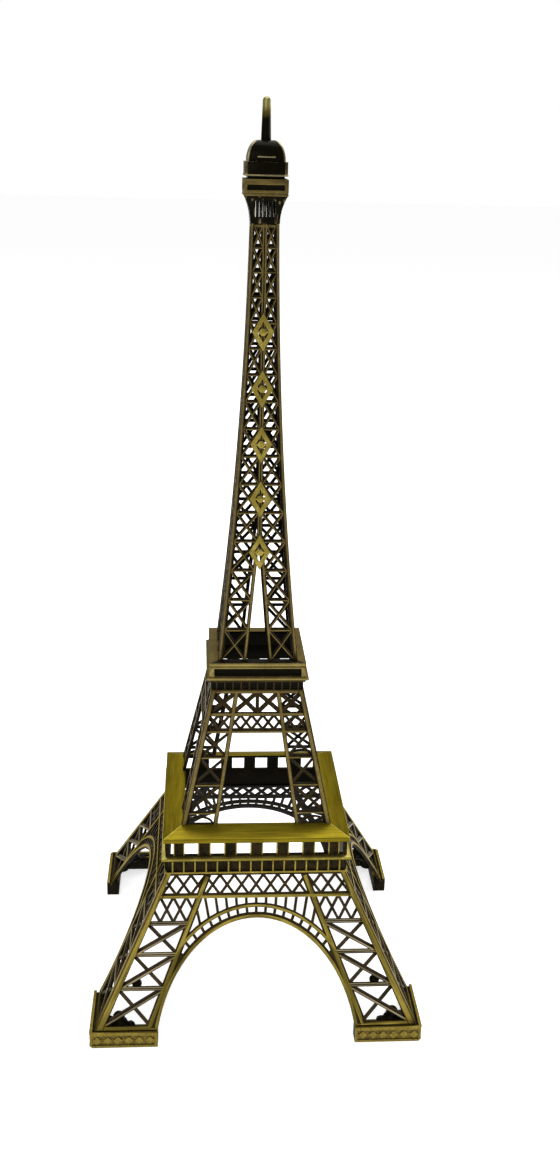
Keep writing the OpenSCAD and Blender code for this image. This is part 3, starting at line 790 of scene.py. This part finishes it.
def lacquer(name, wear_and_painted_light, tones=LACQUER_TONES):
    """Black lacquer over brass, lighter where the extra function adds rub: worn brass at the groins
    and the tip, painted light on the neck and along the cabin's lip.
    """
    return antique(name, tones, gloss=(0.22, 0.35), metal=(0.0, 0.9), skin=0.1, gleam=0.05,
                   patch=0.12, grain=0.08, wear_and_painted_light=wear_and_painted_light)


# Painted reflections: thin light streaks down the glossy neck.
def painted_reflection_streaks(tree, place):
    streak = stretched_noise(tree, place, (1000, 1000, 80), 1.0)
    return math_node(tree, "MULTIPLY", map_range(tree, streak, 1.0, 0.0, 0.33, 0.42), 0.6)


def worn_groins(tree, place):
    return math_node(tree, "MULTIPLY", fade(tree, corner_distance(tree, place), 0.35, 0.7), 0.85)


# A painted highlight: a thin light line along the lower lip of the cabin.
def painted_lip_highlight(tree, place):
    from_lip = math_node(tree, "ABSOLUTE", height_above(tree, place, CABIN_LIP))
    return math_node(tree, "MULTIPLY", fade(tree, from_lip, 0.15, 0.4), 0.8)


def worn_tip(tree, place):
    below_top = math_node(tree, "MULTIPLY", height_above(tree, place, ANTENNA_TOP), -1)
    return math_node(tree, "MULTIPLY", fade(tree, below_top, 2.5, 7), 0.8)


print("the antenna ends at", round(ANTENNA_TOP, 1), "mm")

# %% [markdown]
# ## Neck, cabin and antenna
# These small pieces are finished from the neck up. The top gallery is brass like the tray below
# it, with a sunk band full of stain. The cabin is cross-shaped in plan, and the ends of its arms
# are half rubbed. The antenna is all curve, so its edges need no bevel.

# %% Neck, top gallery, cabin, cupola, antenna
neck = take_casting("neck", 0.08, split=True)
# The light streaks on the neck are painted reflections.
finish_piece(neck, lacquer("lacquer_with_painted_reflections", painted_reflection_streaks), DARK)

top_gallery = take_casting("top_gallery", 0.1, split=True)
gallery_rub = ring_rub(top_gallery, 7.0, front=0.66, recess=0.0, edge=0.85)
finish_piece(top_gallery, pale_brass, gallery_rub)

cabin = take_casting("cabin", 0.12, split=True)
centre, normal, bevelled = face_data(cabin)
out, facing = square_on(centre, normal)
upright = np.abs(normal[:, 2]) < 0.5
arm = (out > 6.2) & (np.abs(facing) < 0.5) & upright & ~bevelled
rub = np.where(arm, 0.55, ring_rub(cabin, 6.9, front=0.05, top=0.2, edge=0.85))
# The light line along the cabin's lip is a painted highlight.
finish_piece(cabin, lacquer("cabin_lacquer", painted_lip_highlight), rub)

cupola = take_casting("cupola", 0.1)
centre, normal, bevelled = face_data(cupola)
out, facing = square_on(centre, normal)
# Painted highlight: the proudest faces, the small ledge low on each face of the cupola, get rub 0.85.
finish_piece(cupola, lacquer("cupola_lacquer", worn_groins), np.where(out > 6.22, 0.85, DARK))

antenna = take_casting("antenna", 0)
finish_piece(antenna, lacquer("antenna_lacquer", worn_tip, TIP_TONES), DARK)

# %% [markdown]
# ## Solder in the legs, and painted shade
# Inside each leg, lumps of solder hold two castings together, and these lumps are partly painted
# shade: they fill dark patches in the lowest bays that are mostly shadow. They are black with flux
# and stain. A lump is a ball, squashed and shaken a little; all of them are then fused by a voxel
# remesh, the way drops of solder run together. Sculpting them by hand would look no better at this
# size and couldn't be repeated.

# %% Solder lumps, partly painted shade
SHEET = 1.7
# Each lump sits where a dark patch shows in a bay, and is partly painted shade.
LUMPS = [
    {"height": 6.0, "inward": 2.4, "aside": 0.6, "wide": 3.2, "tall": 1.8},
    {"height": 6.4, "inward": 1.8, "aside": 5.2, "wide": 2.6, "tall": 1.5},
    {"height": 8.2, "inward": 1.8, "aside": 3.6, "wide": 2.2, "tall": 1.9},
    {"height": 5.6, "inward": 1.6, "aside": 9.0, "wide": 2.2, "tall": 1.0},
    {"height": 18.8, "inward": 0.9, "aside": 5.5, "wide": 1.9, "tall": 1.7},
]
CORNERS = ((-1, -1), (1, -1), (1, 1), (-1, 1))
LUMP_SHAKE = 0.25
VOXEL = 0.3


def add_lump(across, deep, look, seed):
    """A shaken ball, look["wide"] in radius and look["tall"] in half height."""
    deselect()
    bpy.ops.mesh.primitive_ico_sphere_add(subdivisions=3, radius=look["wide"] * MM)
    lump = bpy.context.active_object
    open_mesh(lump)
    bpy.ops.transform.resize(value=(1, 1, look["tall"] / look["wide"]))
    bpy.ops.transform.vertex_random(offset=LUMP_SHAKE * MM, uniform=0.6, seed=seed)
    bpy.ops.transform.translate(value=(across * MM, deep * MM, look["height"] * MM))
    close_mesh()
    return lump


solder_and_shade = take_casting("solder_fillets", 0)
lumps = []
for east, north in CORNERS:
    for look in LUMPS:
        inside = np.polyval(leg_corner, look["height"]) - SHEET - look["inward"]
        lumps.append(add_lump(east * (inside - look["aside"]), north * inside, look, len(lumps)))
select_only(solder_and_shade)
for lump in lumps:
    lump.select_set(True)
bpy.ops.object.join()
remesh = solder_and_shade.modifiers.new("run_together", "REMESH")
remesh.mode = "VOXEL"
remesh.voxel_size = VOXEL * MM
apply_modifiers(solder_and_shade)
# Black, as solder with flux and as painted shade.
finish_piece(solder_and_shade, lacquer("solder_and_painted_shade", None), 0.12)
print("solder lumps:", len(lumps), "box, mm:", [round(v / MM, 1) for v in solder_and_shade.dimensions])

# %% [markdown]
# ## Sizes
# The finish must not make the tower any bigger than the CAD model says. Both boxes are measured, and
# the growth from the one to the other is printed; it should be nought all round.

# %% Measure and print the growth
seen_low, seen_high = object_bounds()
growth = [(b - a) / MM for a, b in zip((*cad_low, *cad_high), (*seen_low, *seen_high))]
print("growth, mm:", [round(v, 2) for v in growth])
